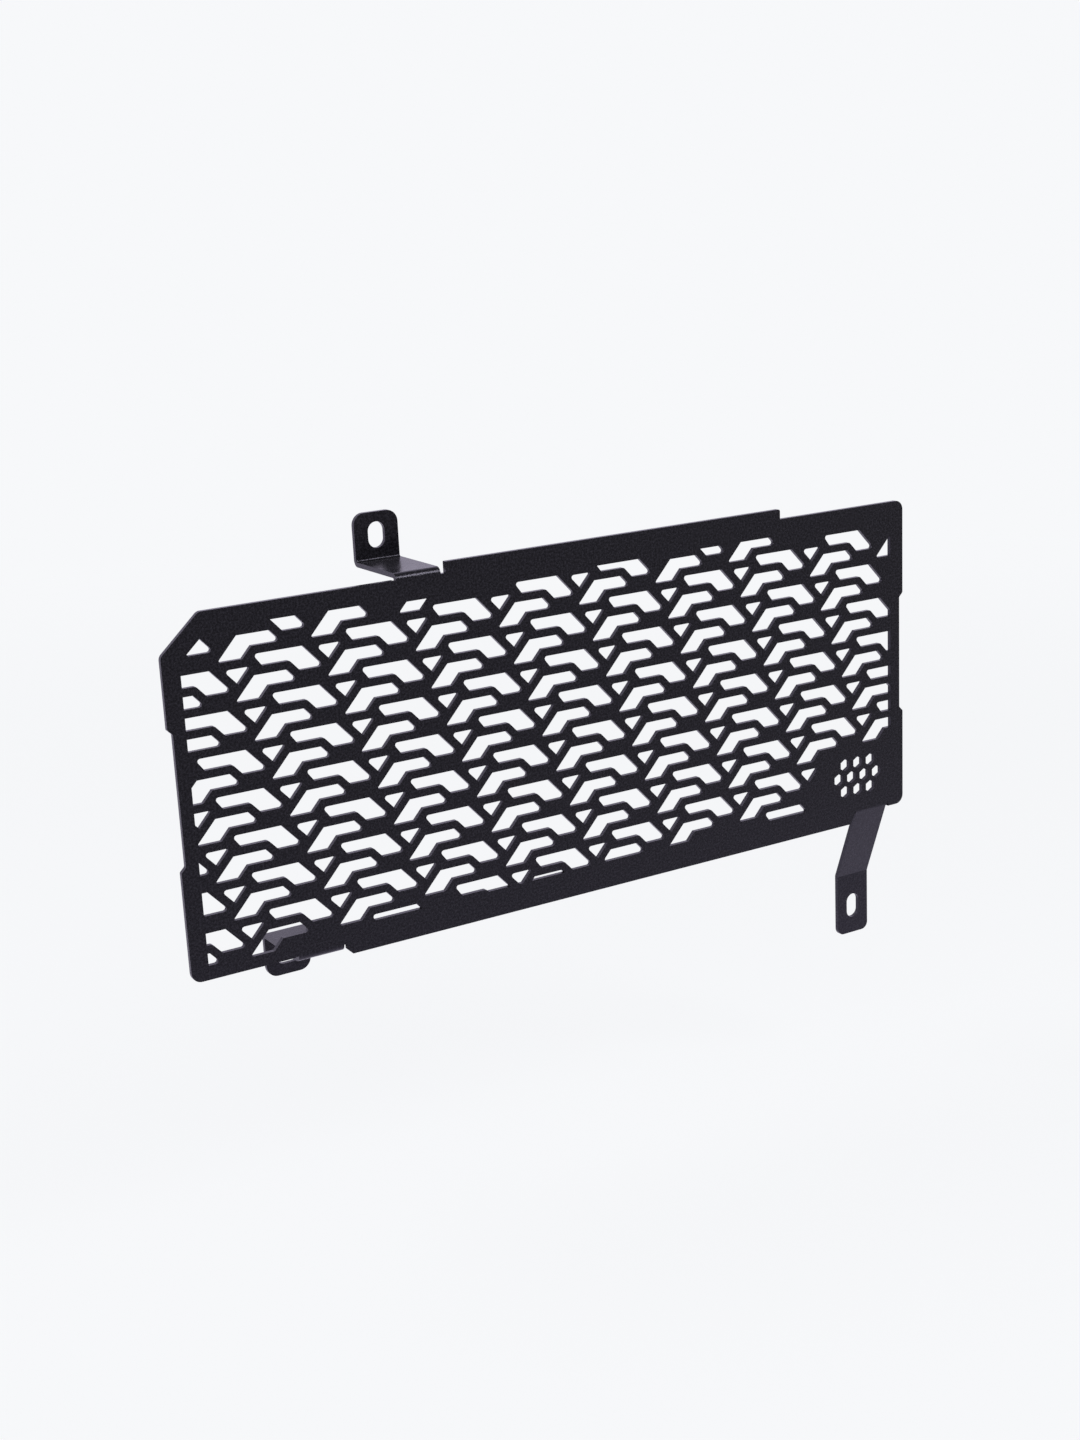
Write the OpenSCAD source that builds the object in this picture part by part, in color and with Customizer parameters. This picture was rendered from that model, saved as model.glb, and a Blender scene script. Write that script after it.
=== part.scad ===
// Radiator guard for a motorcycle: one laser-cut aluminium sheet with folded fixing tabs.
// X runs along the panel, Y goes back towards the radiator and Z is up.
// The origin is the middle of the top tab's slot, on the rear face of its ear.

/* [Sheet] */
// Thickness of the sheet
sheet_t = 2; // [1.5:0.1:3]
// Inner radius of every fold
fold_r = 0.8; // [0.6:0.1:1.6]
// Width of the relief slit beside each fold
relief_w = 1.3; // [0.8:0.1:2]
// Depth of the relief slits below the panel's edge
relief_d = 0.3; // [0.2:0.1:1.2]

/* [Panel] */
// Width of the panel
panel_w = 360; // [320:1:400]
// Height of the panel, without the crown and the keel
panel_h = 144.5; // [128:0.5:160]
// Radius of the panel's square corners
corner_r = 4.2; // [2:0.1:6]
// Width that the bevel takes off the top left corner
bevel_w = 16.5; // [10:0.5:24]
// Height that the bevel takes off the top left corner
bevel_h = 15; // [10:0.5:24]
// Radius at both ends of the bevel
bevel_r = 3; // [1:0.5:5]
// Rise of the crown along the top edge
crown_h = 4.4; // [2:0.1:8]
// Distance from the crown to the panel's right edge
crown_end = 70.5; // [50:0.5:100]
// Drop of the keel along the bottom edge
keel_h = 4.4; // [3:0.1:8]
// Bevel at the keel's left corner
keel_bevel = 2.4; // [1:0.1:2.8]
// Run of the slope at the keel's right end
keel_slope = 3.3; // [1:0.1:6]
// Depth of the hollow in each side edge
hollow_d = 2; // [1:0.1:4]
// Height of the hollows' lower end above the bottom edge
hollow_z = 45.2; // [30:0.1:60]
// Length of the hollows
hollow_l = 56.4; // [40:0.1:65]

/* [Mesh] */
// Solid border round the mesh
border = 7.3; // [5.5:0.1:9]
// Border under the mesh at the lower left corner
low_border = 4.4; // [3.5:0.1:5.4]
// Distance that this lower border runs from the panel's left edge
low_border_l = 38; // [34:0.5:42]
// Solid land between the top tab and the mesh
tab_land = 9.2; // [8:0.1:12]
// Distance that this land passes the tab on each side
tab_land_side = 6.2; // [5:0.1:8]
// Distance from the panel's left edge to the first elbow's knee
mesh_x = 57.4; // [50:0.1:64]
// Distance from the panel's top edge down to the first elbow's knee
mesh_z = 19.5; // [16:0.1:24]
// Step from one column of cells to the next, along X
column_x = 38.75; // [37.5:0.05:42]
// Rise from one column of cells to the next
column_z = 3.62; // [3:0.02:4.2]
// Shift of each row of cells, along X
row_x = 5.93; // [5.2:0.01:6.6]
// Step from one row of cells down to the next
row_z = 16.45; // [16:0.05:19]
// Slant of the cut-outs, from the horizontal
slant = 47.6; // [44:0.1:52]
// Height of an elbow's arm
arm_h = 4.96; // [3.5:0.02:5.5]
// Height of a whole elbow
elbow_h = 9.42; // [8.5:0.02:9.8]
// Width of an elbow's leg
leg_w = 10.4; // [8:0.1:11]
// Length of the left elbow's arm, along its top
left_arm_l = 13.55; // [12:0.05:15]
// Length of the right elbow's arm, along its top
right_arm_l = 20.9; // [18:0.05:22]
// Undercut at the end of the right elbow's arm
arm_undercut = 3.65; // [2:0.05:4.5]
// Width of the triangle beside the right elbow
triangle_w = 11.35; // [8:0.05:12]
// Distance along X from the right elbow's slant to the triangle
triangle_gap = 4.67; // [4:0.01:5.5]
// Drop of the triangle's top below the right elbow's top
triangle_drop = 0.9; // [0:0.05:1.5]
// Radius of the cut-outs' pointed corners
point_r = 1; // [0.5:0.1:1.3]
// Radius of the right elbow's inner corner
inner_r = 1.5; // [0.5:0.1:2]

/* [Vents] */
// Width of a vent hole, across its flats
vent_w = 5; // [3:0.1:6]
// Distance between the middles of two vent holes
vent_step = 7.5; // [6.8:0.1:8.2]
// Distance from the middle of the vents to the panel's right edge
vent_end = 27.5; // [26:0.1:32]
// Height of the middle of the vents above the panel's bottom edge
vent_z = 18.5; // [17:0.1:21]

/* [Tabs] */
// Width of the top and the bottom tab
tab_w = 20; // [18:0.1:24]
// Distance from the panel's front face back to the seat of both tabs
tab_reach = 36.5; // [24:0.5:50]
// Middle of the top tab from the panel's left edge
top_tab_x = 109.4; // [90:0.1:130]
// Height of the top ear above its ledge
top_ear_h = 19.6; // [18.4:0.1:30]
// Middle of the bottom tab from the panel's left edge
low_tab_x = 55.2; // [50:0.1:70]
// Height of the bottom ear below its ledge
low_ear_h = 17.9; // [16:0.1:30]
// Width of the slit between the top tab and the crown
crown_gap = 2.2; // [1:0.1:4]
// Radius of the ears' corners
ear_r = 5; // [3:0.1:6]

/* [Strap] */
// Width of the strap
strap_w = 18.1; // [16:0.1:24]
// Distance from the strap's middle to the panel's right edge
strap_end = 19.4; // [18:0.1:30]
// Distance from the panel's front face back to the strap's seat
strap_reach = 16; // [12:0.5:24]
// Lean of the strap's long flat
strap_lean = 21; // [15:0.5:35]
// Height of the strap's upper fold above the panel's bottom edge
strap_root = 1.6; // [1:0.1:3]
// Length of the strap below its lower fold
strap_ear_l = 30.2; // [27:0.1:40]
// Radius of the strap's corners
strap_r = 3.5; // [2:0.1:5]

/* [Slots] */
// Width of the tabs' slots
slot_w = 7.6; // [6:0.1:9]
// Length of the top tab's slot
top_slot_l = 10.8; // [10:0.1:12.4]
// Wall between the top tab's slot and the end of its ear
top_slot_wall = 4.1; // [3:0.1:5]
// Length of the bottom tab's slot
low_slot_l = 11.2; // [9.4:0.1:12]
// Wall between the bottom tab's slot and the end of its ear
low_slot_wall = 4.7; // [3:0.1:6]
// Width of the strap's slot
strap_slot_w = 7.2; // [5:0.1:9]
// Length of the strap's slot
strap_slot_l = 11.8; // [10:0.1:14]
// Wall between the strap's slot and the strap's end
strap_slot_wall = 7.8; // [4:0.1:9]

/* [Hidden] */
$fn = 72;
// Longest chords along a rounded corner and along the strap's folds
corner_chord = 0.8;
fold_chord = 0.15;
// How far a cutting body passes the sheet, and how far the strap's root laps the panel
lap = 1;
root_lap = 3;
// Small radii: the ends of the side hollows, the crown's right corner and the mildest points of the mesh
hollow_r = 0.8;
crown_r = 0.8;
tip_r = 0.6;

fold_out = fold_r + sheet_t;
ledge_rise = fold_out - relief_d;
slit_half = tab_w / 2 + relief_w;
crown_left = top_tab_x + tab_w / 2 + crown_gap;
crown_right = panel_w - crown_end;
keel_left = low_tab_x + slit_half;
strap_left = panel_w - strap_end - strap_w / 2;
strap_right = strap_left + strap_w;
top_slot_z = panel_h + ledge_rise + top_ear_h - top_slot_wall - top_slot_l / 2;

function xy(p) = [p[0], p[1]];
function unit(v) = v / norm(v);

// Points of the arc that rounds corner b, between its neighbours a and c.
function corner_arc(a, b, c, r, chord) =
    let (
        u = unit(a - b),
        v = unit(c - b),
        half = acos(u * v) / 2,
        side = cross(b - a, c - b) > 0 ? 1 : -1,
        turn = side * (180 - 2 * half),
        centre = b + unit(u + v) * r / sin(half),
        first = b + u * r / tan(half) - centre,
        from = atan2(first[1], first[0]),
        steps = max(2, ceil(abs(turn) * PI / 180 * r / chord))
    )
    [for (k = [0 : steps]) centre + r * [cos(from + turn * k / steps), sin(from + turn * k / steps)]];

// Points of a polygon whose corners are given as [x, z, radius].
function rounded(corners, chord = corner_chord) =
    let (n = len(corners))
    [for (k = [0 : n - 1])
        let (before = corners[(k + n - 1) % n], here = corners[k], after = corners[(k + 1) % n])
        each here[2] > 0 ? corner_arc(xy(before), xy(here), xy(after), here[2], chord) : [xy(here)]];

// Corners moved to p, and turned left to right when side is -1.
function placed(corners, p, side) = [for (c = corners) [p[0] + side * c[0], p[1] + c[1], c[2]]];

// The panel's outline starts at its lower left corner and runs anticlockwise.
function side_hollow(x, inward) = [
    [x, hollow_z, hollow_r],
    [x + inward * hollow_d, hollow_z + hollow_d, hollow_r],
    [x + inward * hollow_d, hollow_z + hollow_l - hollow_d, hollow_r],
    [x, hollow_z + hollow_l, hollow_r]
];

bottom_edge = [
    [0, 0, corner_r],
    [low_tab_x - slit_half, 0, 0],
    [low_tab_x - slit_half, relief_d, 0],
    [keel_left, relief_d, 0],
    [keel_left, keel_bevel - keel_h, 0],
    [keel_left + keel_bevel, -keel_h, 0],
    [strap_left - keel_slope, -keel_h, 0],
    [strap_left, strap_root, 0],
    [strap_right + relief_w, strap_root, 0],
    [strap_right + relief_w, 0, 0],
    [panel_w, 0, corner_r]
];

top_edge = [
    [panel_w, panel_h, corner_r],
    [crown_right, panel_h, 0],
    [crown_right, panel_h + crown_h, crown_r],
    [crown_left, panel_h + crown_h, 0],
    [crown_left, panel_h - relief_d, 0],
    [top_tab_x - slit_half, panel_h - relief_d, 0],
    [top_tab_x - slit_half, panel_h, 0],
    [bevel_w, panel_h, bevel_r],
    [0, panel_h - bevel_h, bevel_r]
];

outline = concat(
    bottom_edge,
    side_hollow(panel_w, -1),
    top_edge,
    [for (k = [3 : -1 : 0]) side_hollow(0, 1)[k]]
);

// The window that the mesh fills: the panel less its border, which follows the bevel too.
bevel_angle = atan(bevel_h / bevel_w);
mesh_right = panel_w - border;
mesh_top = panel_h - border;
land_half = tab_w / 2 + tab_land_side;

window = [
    [border, low_border],
    [low_border_l, low_border],
    [low_border_l, border],
    [mesh_right, border],
    [mesh_right, mesh_top],
    [top_tab_x + land_half, mesh_top],
    [top_tab_x + land_half, panel_h - tab_land],
    [top_tab_x - land_half, panel_h - tab_land],
    [top_tab_x - land_half, mesh_top],
    [bevel_w + border * tan(bevel_angle / 2), mesh_top],
    [border, panel_h - bevel_h - border * tan(45 - bevel_angle / 2)]
];

// Corners of the cut-outs. An elbow's zero point is its knee, at the top of the slant. It is drawn
// as the right elbow, with its arm to the left and its leg down to the right.
leg_run = elbow_h / tan(slant);
arm_run = arm_h / tan(slant);
right_arm_end = [[-right_arm_l, 0, point_r], [arm_undercut - right_arm_l, -arm_h, 0]];
left_arm_end = [[-left_arm_l, 0, 0], [-left_arm_l - arm_run, -arm_h, point_r]];

function leg_foot(foot_r) = [[leg_run - leg_w, -elbow_h, 0], [leg_run, -elbow_h, foot_r]];
function elbow(arm_end, knee_r, foot_r) =
    concat(arm_end, [[arm_run - leg_w, -arm_h, knee_r]], leg_foot(foot_r), [[0, 0, 0]]);
function arm_alone(arm_end) = concat(arm_end, [[arm_run, -arm_h, point_r], [0, 0, 0]]);
function leg_alone(foot_r) = concat([[-leg_w, 0, 0]], leg_foot(foot_r), [[0, 0, 0]]);

triangle = [
    [0, 0, point_r],
    [triangle_w, 0, tip_r],
    [triangle_w / 2, -triangle_w / 2 * tan(slant), 0]
];

// Where the border would leave less than these of an arm's height, of a leg's height below the knee or
// of the room beside a leg, that arm or leg stays uncut.
least_arm = 1.1;
least_leg_h = 0.8;
least_leg_w = 3;

function floor_at(p) = p[0] < low_border_l ? low_border : border;

// side is 1 for a right elbow and -1 for a left one.
function leg_shows(knee, side) =
    let (inner = knee + [side * (arm_run - leg_w), -arm_h])
    inner[1] > floor_at(knee) + least_leg_h
        && (side > 0 ? mesh_right - inner[0] : inner[0] - border) > least_leg_w;

function arm_shows(knee) =
    knee[1] > floor_at(knee) + least_arm && knee[1] - arm_h < mesh_top - least_arm
        && (knee[1] - arm_h < panel_h - tab_land || abs(knee[0] - top_tab_x) > land_half);

module cut_elbow(knee, side, arm_end, knee_r, foot_r) {
    arm = arm_shows(knee);
    leg = leg_shows(knee, side);
    if (arm && leg) polygon(rounded(placed(elbow(arm_end, knee_r, foot_r), knee, side)));
    else if (arm) polygon(rounded(placed(arm_alone(arm_end), knee, side)));
    else if (leg) polygon(rounded(placed(leg_alone(foot_r), knee, side)));
}

// How far a cut-out's first corner may pass the panel's left, right and top edges, and how high a
// triangle's top has to be. The vents' field has no cut-outs: its width and height are given.
right_elbow_reach = [6, 7, 0];
left_elbow_reach = [6, -3, -3];
triangle_reach = [0, -25, -8];
triangle_floor = border + 5;
vent_field = [55, 37];

function kept(p, reach) =
    p[0] > -reach[0] && p[0] < panel_w + reach[1] && p[1] < panel_h + reach[2]
        && (p[0] < panel_w - vent_field[0] || p[1] > vent_field[1]);

module cell(knee) {
    left_knee = knee + [-right_arm_l, -row_z / 2];
    corner = knee + [triangle_gap + triangle_drop / tan(slant), -triangle_drop];
    if (kept(knee, right_elbow_reach)) cut_elbow(knee, 1, right_arm_end, inner_r, point_r);
    if (kept(left_knee, left_elbow_reach)) cut_elbow(left_knee, -1, left_arm_end, 0, tip_r);
    if (kept(corner, triangle_reach) && corner[1] > triangle_floor)
        polygon(rounded(placed(triangle, corner, 1)));
}

module mesh() {
    rows = ceil(panel_h / row_z) + 3;
    columns = ceil(panel_w / column_x);
    intersection() {
        polygon(window);
        for (i = [-2 : rows], j = [-3 : columns])
            cell([mesh_x + i * row_x + j * column_x, panel_h - mesh_z - i * row_z + j * column_z]);
    }
}

// Three rows of hexagonal holes in the plain corner above the strap.
module vents() {
    for (row = [-1 : 1]) {
        count = 4 - abs(row);
        for (k = [0 : count - 1])
            translate([
                panel_w - vent_end + (k - (count - 1) / 2) * vent_step,
                vent_z + row * vent_step * sin(60)
            ])
                rotate(30) circle(d = vent_w / cos(30), $fn = 6);
    }
}

// Solids from flat shapes: one drawn in X and Z is given its thickness along Y, from y on,
// and a side view drawn in Y and Z is given its width along X, about the middle.
module along_y(y, length) {
    translate([0, y + length, 0]) rotate([90, 0, 0]) linear_extrude(length) children();
}

module along_x(width) {
    translate([-width / 2, 0, 0]) rotate([90, 0, 90]) linear_extrude(width) children();
}

module panel() {
    along_y(0, sheet_t) difference() {
        polygon(rounded(outline));
        mesh();
        vents();
    }
}

// Side view of a square fold's ring, in the quarter where both coordinates are positive.
module fold() {
    difference() {
        circle(fold_out);
        circle(fold_r);
        translate([-2 * fold_out, -2 * fold_out]) square([2 * fold_out, 4 * fold_out]);
        translate([-2 * fold_out, -2 * fold_out]) square([4 * fold_out, 2 * fold_out]);
    }
}

// Round-ended slot, upright unless turned.
module slot(length, width, turned = 0) {
    straight = length - width;
    rotate(turned) {
        square([width, straight], center = true);
        for (end = [-1, 1]) translate([0, end * straight / 2]) circle(d = width);
    }
}

// Outline of a flat tab that ends at z = top, with rounded corners there.
module tab_end(width, bottom, top, r) {
    polygon(rounded([
        [-width / 2, bottom, 0], [width / 2, bottom, 0],
        [width / 2, top, r], [-width / 2, top, r]
    ]));
}

// Side view of a tab: up from the panel, back along the ledge and up again to the ear's end.
module tab_side(ear_h) {
    translate([fold_out, ledge_rise - fold_out]) mirror([1, 0]) fold();
    translate([fold_out, ledge_rise - sheet_t]) square([tab_reach - 2 * fold_out, sheet_t]);
    translate([tab_reach - fold_out, ledge_rise + fold_r]) mirror([0, 1]) fold();
    translate([tab_reach - sheet_t, ledge_rise + fold_r]) square([sheet_t, ear_h - fold_r]);
    translate([0, -root_lap]) square([sheet_t, root_lap - relief_d]);
}

// A tab's zero point is the middle of its root, on the panel's edge and front face.
module tab(ear_h, slot_l, slot_wall, slot_turned) {
    slot_half = (slot_turned == 0 ? slot_l : slot_w) / 2;
    difference() {
        intersection() {
            along_x(tab_w) tab_side(ear_h);
            along_y(-lap, tab_reach + 2 * lap) tab_end(tab_w, -root_lap, ledge_rise + ear_h, ear_r);
        }
        translate([0, 0, ledge_rise + ear_h - slot_wall - slot_half])
            along_y(tab_reach - sheet_t - lap, sheet_t + 2 * lap) slot(slot_l, slot_w, slot_turned);
    }
}

// The strap leans back from its upper fold and is upright again below its lower one. Its folds are
// worked out where the flats' faces would meet, and then rounded.
fold_shift = sheet_t * tan(strap_lean / 2);
fold_tail = fold_r * tan(strap_lean / 2);
upper_fold = strap_root - fold_tail;
lean_h = (strap_reach - sheet_t) / tan(strap_lean);
lower_fold = upper_fold - lean_h;
strap_foot = lower_fold - strap_ear_l;

module strap_side() {
    polygon(rounded([
        [0, strap_root + root_lap, 0],
        [0, upper_fold - fold_shift, fold_out],
        [strap_reach - sheet_t, lower_fold - fold_shift, fold_r],
        [strap_reach - sheet_t, strap_foot, 0],
        [strap_reach, strap_foot, 0],
        [strap_reach, lower_fold, fold_out],
        [sheet_t, upper_fold, fold_r],
        [sheet_t, strap_root + root_lap, 0]
    ], fold_chord));
}

module strap() {
    difference() {
        intersection() {
            along_x(strap_w) strap_side();
            along_y(-lap, strap_reach + 2 * lap)
                mirror([0, 1]) tab_end(strap_w, -strap_root - root_lap, -strap_foot, strap_r);
        }
        translate([0, 0, strap_foot + strap_slot_wall + strap_slot_l / 2])
            along_y(strap_reach - sheet_t - lap, sheet_t + 2 * lap) slot(strap_slot_l, strap_slot_w);
    }
}

module guard() {
    color([0.15, 0.145, 0.165])
    translate([-top_tab_x, -tab_reach, -top_slot_z]) {
        panel();
        translate([top_tab_x, 0, panel_h]) tab(top_ear_h, top_slot_l, top_slot_wall, 0);
        translate([low_tab_x, 0, 0]) mirror([0, 0, 1]) tab(low_ear_h, low_slot_l, low_slot_wall, 90);
        translate([strap_left + strap_w / 2, 0, 0]) strap();
    }
}

guard();
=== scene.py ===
"""Studio scene for a motorcycle radiator guard: a folded, perforated sheet in black powder coat."""

import math

import bmesh
import bpy
from mathutils import Matrix, Vector


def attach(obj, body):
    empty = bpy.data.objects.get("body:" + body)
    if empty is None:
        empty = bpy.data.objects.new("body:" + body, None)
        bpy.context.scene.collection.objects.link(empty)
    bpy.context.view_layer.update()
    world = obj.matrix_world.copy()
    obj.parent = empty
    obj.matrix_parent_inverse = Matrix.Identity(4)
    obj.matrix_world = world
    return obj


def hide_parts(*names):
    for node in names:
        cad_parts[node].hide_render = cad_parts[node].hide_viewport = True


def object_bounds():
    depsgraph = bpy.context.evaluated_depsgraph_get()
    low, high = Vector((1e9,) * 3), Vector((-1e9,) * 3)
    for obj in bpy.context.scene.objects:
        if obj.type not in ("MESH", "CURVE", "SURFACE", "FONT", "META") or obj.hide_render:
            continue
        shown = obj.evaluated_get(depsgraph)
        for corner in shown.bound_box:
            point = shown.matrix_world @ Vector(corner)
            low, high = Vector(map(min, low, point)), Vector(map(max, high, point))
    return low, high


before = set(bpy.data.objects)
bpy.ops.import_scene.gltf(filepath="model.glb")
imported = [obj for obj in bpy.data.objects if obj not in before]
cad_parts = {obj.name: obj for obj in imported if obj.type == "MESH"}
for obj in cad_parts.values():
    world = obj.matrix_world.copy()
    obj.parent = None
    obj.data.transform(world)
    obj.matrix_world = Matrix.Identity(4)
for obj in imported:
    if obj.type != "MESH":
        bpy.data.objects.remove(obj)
cad_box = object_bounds()
scene = bpy.context.scene

MM = 0.001

# Camera: its place, the way it looks, the way up its picture, and its lens and sensor in millimetres.
CAMERA_AT = Vector((-360.39, -727.25, 135.54)) * MM
LOOKS_ALONG = Vector((0.49545, 0.82897, -0.25951))
PICTURE_UP = Vector((0.17537, 0.19715, 0.96456))
LENS = 50.075
SENSOR = 36.0
CLIP_NEAR, CLIP_FAR = 0.01, 100.0

# Sheet: how far the coat rounds an edge, and from what angle on an edge counts as sharp.
EDGE_ROUND = 0.22 * MM
SHARP_EDGE = math.radians(24)

# Clean-up of the sheet's mesh: points this close are one, triangles this flat are one face, edges
# this short are slivers, and an edge that still turns this far after the rounding stays crisp.
SAME_POINT = 0.001 * MM
SAME_FACE = math.radians(0.4)
SLIVER = 0.002 * MM
CRISP_EDGE = math.radians(40)

# Powder coat: a fine grain and a wider orange peel, as waves per metre and the share of BUMP_HEIGHT
# that they raise. Wide patches change the gloss a little.
GRAIN_SCALE, GRAIN_DETAIL, GRAIN_BREAK_UP = 1150.0, 2.0, 0.6
PEEL_SCALE, PEEL_DETAIL = 420.0, 1.0
PATCH_SCALE, PATCH_DETAIL = 30.0, 3.0
BUMP_HEIGHT = 0.08 * MM
GRAIN_BUMP, PEEL_BUMP = 1.0, 0.3
PATCH_RANGE = (0.3, 0.7)
COAT_ROUGHNESS = (0.23, 0.28)
COAT_REFLECTION = 0.36
COAT_REFLECTION_TINT = (0.84, 0.80, 1.0, 1.0)

# The coat's black, with painted shade in the grain's pits and a painted glint on its tips, where the
# grain's bump is low and high; and how high on the grain the pits end and the tips start.
PIT_PAINTED_SHADE, PITS_TO = (0.0020, 0.0019, 0.0024, 1.0), 0.4
TIP_PAINTED_GLINT, TIPS_FROM = (0.0200, 0.0190, 0.0245, 1.0), 0.7

# Floor: its clear height under the guard, and half its side. As far as the near reach it shows this
# share of the backdrop's tone over its own matte white, and from the far reach on nothing else.
FLOOR_GAP = 60 * MM
FLOOR_HALF = 12.0
NEAR_GLOW = 0.92
NEAR_REACH = 0.35
FAR_REACH = 1.6

# The coat's gloss mirrors the white backdrop behind the guard and the floor beside it, and less and
# less of them to the front, where the studio is darker. These are the Y of a direction, and of a
# place on the floor, where that starts and ends.
BACKDROP_FRONT, BACKDROP_BACK = 0.15, 0.65
FLOOR_FRONT, FLOOR_BACK = -0.50, 0.0

# Tones, linear: the studio as the camera and as gloss see it, the floor's matte white, the floor in
# front as gloss sees it, and the room, which lights the guard and is what gloss sees in front.
BACKGROUND = (0.93, 0.939, 0.956, 1.0)
BACKGROUND_IN_GLOSS = (0.86, 0.80, 1.0, 1.0)
FLOOR_WHITE = (0.93, 0.94, 0.955, 1.0)
FLOOR_IN_FRONT = (0.38, 0.37, 0.38, 1.0)
ROOM = (0.188, 0.188, 0.2, 1.0)

# Lamps: place from the guard's middle and side in metres, and power in watts. The first lights the
# guard from behind, the second makes the strips of light along the folds, the third fills the front.
LAMPS = {
    "back_light": ((-0.9, 0.6, 1.1), 1.0, 16.0),
    "fold_light": ((0.55, -0.65, 0.70), 0.42, 6.8),
    "fill_light": ((-1.1, -0.9, 0.7), 1.2, 5.0),
}

# The colour sockets of a Mix node, by number: what comes in, and what goes out.
MIX_SHARE, MIX_FIRST, MIX_SECOND = 0, 6, 7
MIXED = 2


def nodes_of(owner):
    """An emptied node tree of a material or world, and a helper that adds a node with its settings."""
    owner.use_nodes = True
    tree = owner.node_tree
    tree.nodes.clear()

    def add(kind, **settings):
        node = tree.nodes.new(kind)
        for name, value in settings.items():
            setattr(node, name, value)
        return node

    return tree, add


def noise(tree, add, place, scale, detail):
    """A noise texture on a place."""
    texture = add("ShaderNodeTexNoise", noise_dimensions="3D")
    texture.inputs["Scale"].default_value = scale
    texture.inputs["Detail"].default_value = detail
    tree.links.new(place, texture.inputs["Vector"])
    return texture


def bump(tree, add, height, strength):
    """A bump on a height from 0 to 1, as strong as a share of the coat's bump height."""
    relief = add("ShaderNodeBump")
    relief.inputs["Strength"].default_value = strength
    relief.inputs["Distance"].default_value = BUMP_HEIGHT
    tree.links.new(height, relief.inputs["Height"])
    return relief


def run_between(tree, add, value, start, end, kind):
    """A Map Range node that turns a value's run from start to end into 0 to 1, straight or eased."""
    run = add("ShaderNodeMapRange", interpolation_type=kind)
    run.inputs["From Min"].default_value = start
    run.inputs["From Max"].default_value = end
    tree.links.new(value, run.inputs["Value"])
    return run


def mix_colours(tree, add, share, first, second):
    """A Mix node from one colour to a second, each a constant or another node's output."""
    mix = add("ShaderNodeMix", data_type="RGBA")
    tree.links.new(share, mix.inputs[MIX_SHARE])
    for socket, colour in ((MIX_FIRST, first), (MIX_SECOND, second)):
        if isinstance(colour, tuple):
            mix.inputs[socket].default_value = colour
        else:
            tree.links.new(colour, mix.inputs[socket])
    return mix.outputs[MIXED]


def mix_shaders(tree, add, share, first, second):
    """The first shader where the share is 0, and the second where it is 1."""
    mix = add("ShaderNodeMixShader")
    tree.links.new(share, mix.inputs["Fac"])
    tree.links.new(first, mix.inputs[1])
    tree.links.new(second, mix.inputs[2])
    return mix.outputs["Shader"]


def powder_coat():
    """Satin black powder coat: a fine grain over a soft orange peel, with painted glints on the
    grain's tips and painted shade in its pits.
    """
    material = bpy.data.materials.new("black_powder_coat")
    tree, add = nodes_of(material)
    link = tree.links.new
    place = add("ShaderNodeTexCoord").outputs["Object"]
    surface = add("ShaderNodeBsdfPrincipled")
    output = add("ShaderNodeOutputMaterial")

    grain = noise(tree, add, place, GRAIN_SCALE, GRAIN_DETAIL)
    grain.inputs["Roughness"].default_value = GRAIN_BREAK_UP
    peel = noise(tree, add, place, PEEL_SCALE, PEEL_DETAIL)
    grain_bump = bump(tree, add, grain.outputs["Fac"], GRAIN_BUMP)
    peel_bump = bump(tree, add, peel.outputs["Fac"], PEEL_BUMP)
    link(grain_bump.outputs["Normal"], peel_bump.inputs["Normal"])
    link(peel_bump.outputs["Normal"], surface.inputs["Normal"])

    patches = noise(tree, add, place, PATCH_SCALE, PATCH_DETAIL)
    roughness = run_between(tree, add, patches.outputs["Fac"], *PATCH_RANGE, "LINEAR")
    roughness.inputs["To Min"].default_value = COAT_ROUGHNESS[0]
    roughness.inputs["To Max"].default_value = COAT_ROUGHNESS[1]
    link(roughness.outputs["Result"], surface.inputs["Roughness"])

    # Painted glints and shade: the base colour is lighter on the grain's tips and darker in its pits.
    colour = add("ShaderNodeValToRGB")
    pits, tips = colour.color_ramp.elements
    pits.position, pits.color = PITS_TO, PIT_PAINTED_SHADE
    tips.position, tips.color = TIPS_FROM, TIP_PAINTED_GLINT
    link(grain.outputs["Fac"], colour.inputs["Fac"])
    link(colour.outputs["Color"], surface.inputs["Base Color"])

    surface.inputs["Specular IOR Level"].default_value = COAT_REFLECTION
    surface.inputs["Specular Tint"].default_value = COAT_REFLECTION_TINT
    link(surface.outputs["BSDF"], output.inputs["Surface"])
    return material


def coated_sheet(cad_node, name):
    """A copy of the sheet whose edges are rounded by the coat that covers them."""
    mesh = cad_node.data.copy()
    mesh.name = name
    sheet = bmesh.new()
    sheet.from_mesh(mesh)
    bmesh.ops.remove_doubles(sheet, verts=sheet.verts, dist=SAME_POINT)
    bmesh.ops.dissolve_limit(
        sheet, angle_limit=SAME_FACE, verts=sheet.verts, edges=sheet.edges,
    )
    sharp = [e for e in sheet.edges if e.is_manifold and e.calc_face_angle() > SHARP_EDGE]
    bmesh.ops.bevel(
        sheet, geom=sharp, offset=EDGE_ROUND, offset_type="OFFSET", segments=2, profile=0.5,
        affect="EDGES", clamp_overlap=True, material=-1,
    )
    bmesh.ops.dissolve_degenerate(sheet, dist=SLIVER, edges=sheet.edges)
    for face in sheet.faces:
        face.smooth = True
    sheet.to_mesh(mesh)
    sheet.free()
    mesh.set_sharp_from_angle(angle=CRISP_EDGE)
    piece = bpy.data.objects.new(name, mesh)
    scene.collection.objects.link(piece)
    normals = piece.modifiers.new("even_normals", "WEIGHTED_NORMAL")
    normals.keep_sharp = True
    return piece


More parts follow.
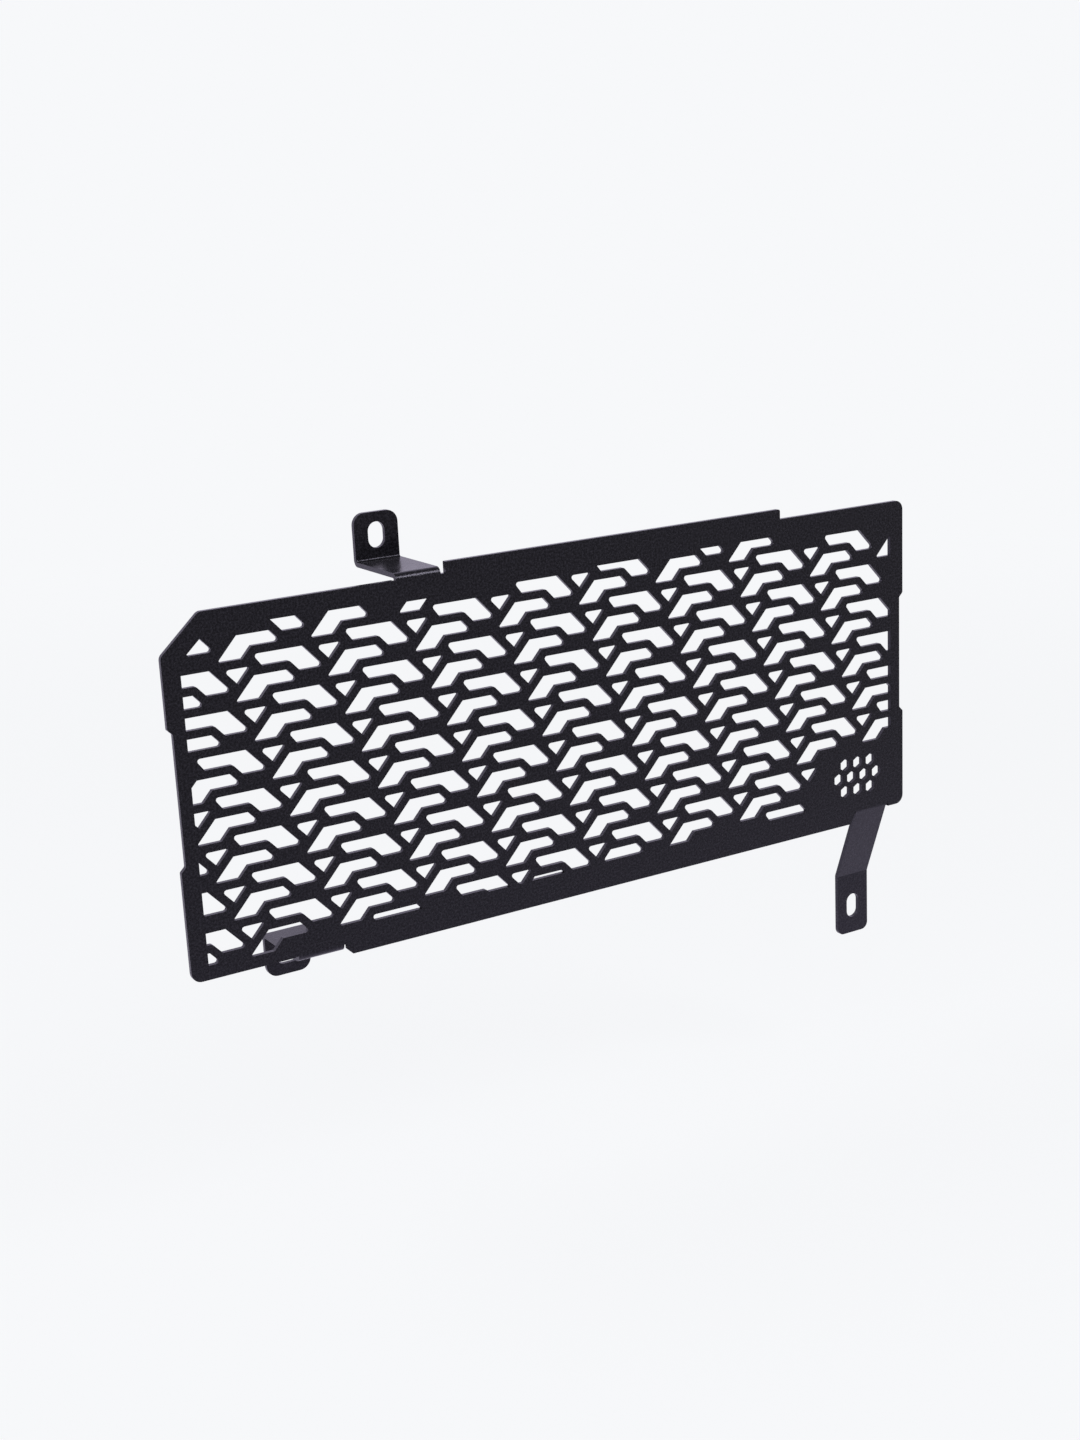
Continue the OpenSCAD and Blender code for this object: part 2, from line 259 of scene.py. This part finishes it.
def sees_studio(tree, add):
    """1 for rays of the camera, glass and gloss, which see the studio's own tone, else 0."""
    path = add("ShaderNodeLightPath")
    seen = path.outputs["Is Camera Ray"]
    for kind in ("Is Transmission Ray", "Is Glossy Ray"):
        either = add("ShaderNodeMath", operation="MAXIMUM")
        tree.links.new(seen, either.inputs[0])
        tree.links.new(path.outputs[kind], either.inputs[1])
        seen = either.outputs[0]
    return seen


def studio_tone(tree, add, place, front_tone, front_at, back_at):
    """The studio's white. Gloss sees it cooler, and falling to a darker tone in front.

    The Y of the place or direction says how far in front it is.
    """
    path = add("ShaderNodeLightPath")
    split = add("ShaderNodeSeparateXYZ")
    tree.links.new(place, split.inputs["Vector"])
    backwards = run_between(tree, add, split.outputs["Y"], front_at, back_at, "SMOOTHSTEP")
    in_gloss = mix_colours(tree, add, backwards.outputs["Result"], front_tone, BACKGROUND_IN_GLOSS)
    return mix_colours(tree, add, path.outputs["Is Glossy Ray"], BACKGROUND, in_gloss)


def floor_material():
    """Matte white that takes a faint shadow, and passes into the backdrop's tone further out."""
    material = bpy.data.materials.new("pale_floor")
    tree, add = nodes_of(material)
    link = tree.links.new
    place = add("ShaderNodeTexCoord").outputs["Object"]
    matte = add("ShaderNodeBsdfDiffuse")
    matte.inputs["Color"].default_value = FLOOR_WHITE
    glow = add("ShaderNodeEmission")
    tone = studio_tone(tree, add, place, FLOOR_IN_FRONT, FLOOR_FRONT, FLOOR_BACK)
    link(tone, glow.inputs["Color"])

    away = add("ShaderNodeVectorMath", operation="LENGTH")
    link(place, away.inputs[0])
    fade = run_between(tree, add, away.outputs["Value"], NEAR_REACH, FAR_REACH, "SMOOTHSTEP")
    fade.inputs["To Min"].default_value = NEAR_GLOW
    fade.inputs["To Max"].default_value = 1.0
    glow_share = add("ShaderNodeMath", operation="MULTIPLY")
    link(fade.outputs["Result"], glow_share.inputs[0])
    link(sees_studio(tree, add), glow_share.inputs[1])

    output = add("ShaderNodeOutputMaterial")
    shown = mix_shaders(
        tree, add, glow_share.outputs[0], matte.outputs["BSDF"], glow.outputs["Emission"],
    )
    link(shown, output.inputs["Surface"])
    return material


def pale_floor():
    """One wide square under the guard, which belongs to the studio."""
    mesh = bpy.data.meshes.new("floor")
    ground = bmesh.new()
    bmesh.ops.create_grid(ground, x_segments=1, y_segments=1, size=FLOOR_HALF)
    bmesh.ops.translate(ground, verts=ground.verts, vec=(0, 0, cad_box[0][2] - FLOOR_GAP))
    ground.to_mesh(mesh)
    ground.free()
    mesh.materials.append(floor_material())
    floor = bpy.data.objects.new("floor", mesh)
    scene.collection.objects.link(floor)


def studio_world():
    """The backdrop that camera and gloss see all around, and the dimmer room that lights the guard."""
    world = bpy.data.worlds.new("studio")
    scene.world = world
    tree, add = nodes_of(world)
    link = tree.links.new
    room = add("ShaderNodeBackground")
    room.inputs["Color"].default_value = ROOM
    backdrop = add("ShaderNodeBackground")
    direction = add("ShaderNodeTexCoord").outputs["Generated"]
    tone = studio_tone(tree, add, direction, ROOM, BACKDROP_FRONT, BACKDROP_BACK)
    link(tone, backdrop.inputs["Color"])
    output = add("ShaderNodeOutputWorld")
    shown = mix_shaders(
        tree, add, sees_studio(tree, add), room.outputs["Background"], backdrop.outputs["Background"],
    )
    link(shown, output.inputs["Surface"])


def softbox(name, at, aim, size, power):
    """A square area lamp at a place, turned to a point, all in metres."""
    lamp = bpy.data.lights.new(name, "AREA")
    lamp.shape = "SQUARE"
    lamp.size = size
    lamp.energy = power
    box = bpy.data.objects.new(name, lamp)
    box.location = at
    box.visible_camera = False
    box.rotation_euler = (aim - at).to_track_quat("-Z", "Y").to_euler()
    scene.collection.objects.link(box)


def place_camera():
    """The photograph's camera, which looks along its own -Z with +Y up its picture."""
    lens = bpy.data.cameras.new("camera")
    lens.lens = LENS
    lens.sensor_fit = "AUTO"
    lens.sensor_width = SENSOR
    lens.clip_start = CLIP_NEAR
    lens.clip_end = CLIP_FAR
    camera = bpy.data.objects.new("camera", lens)
    back = -LOOKS_ALONG.normalized()
    right = PICTURE_UP.cross(back).normalized()
    up = back.cross(right)
    turned = Matrix((right, up, back)).transposed().to_4x4()
    camera.matrix_world = Matrix.Translation(CAMERA_AT) @ turned
    scene.collection.objects.link(camera)
    scene.camera = camera


coat = powder_coat()
guard = coated_sheet(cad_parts["guard"], "guard_coated")
guard.data.materials.clear()
guard.data.materials.append(coat)
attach(guard, "root")
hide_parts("guard")

pale_floor()
studio_world()
middle = Vector([(low + high) / 2 for low, high in zip(*cad_box)])
for lamp_name, (offset, side, watts) in LAMPS.items():
    softbox(lamp_name, middle + Vector(offset), middle, side, watts)
place_camera()

scene.view_settings.view_transform = "Standard"
